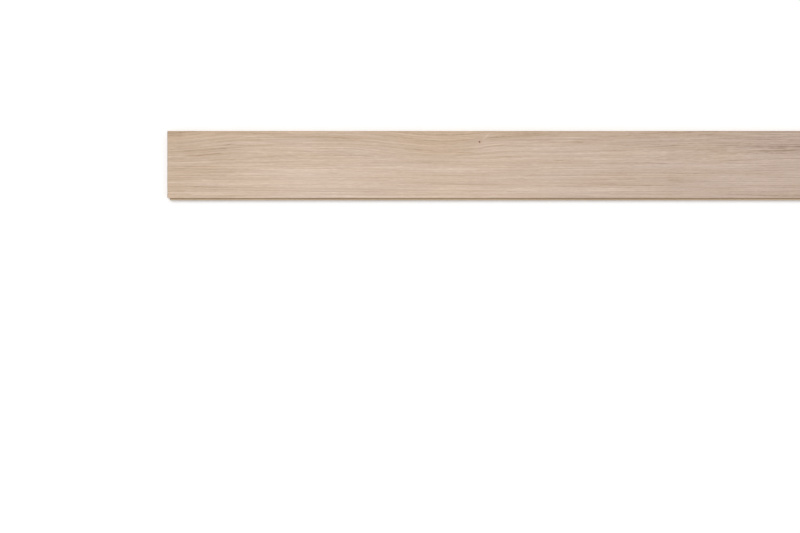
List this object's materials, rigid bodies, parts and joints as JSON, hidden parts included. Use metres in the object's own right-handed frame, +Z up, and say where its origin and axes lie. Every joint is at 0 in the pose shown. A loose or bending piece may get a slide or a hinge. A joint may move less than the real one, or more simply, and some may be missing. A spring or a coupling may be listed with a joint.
{
  "type": "wide plank floorboard",
  "caption": "Wide oak plank floorboard with a tongue and groove on its long edges and its ends, a micro-bevelled face and relief grooves along its back.",
  "frame": {"origin": "middle of the underside, below the middle of the visible face", "axes": "+X along the board and its grain, towards the end with the tongue; +Y across the board, towards the grooved long edge; +Z up, out of the wear face"},
  "size_m": [1.906, 0.196, 0.02],
  "materials": {
    "oak": "matte"
  },
  "bodies": {
    "root": {"floorboard": "oak"}
  },
  "joints": []
}
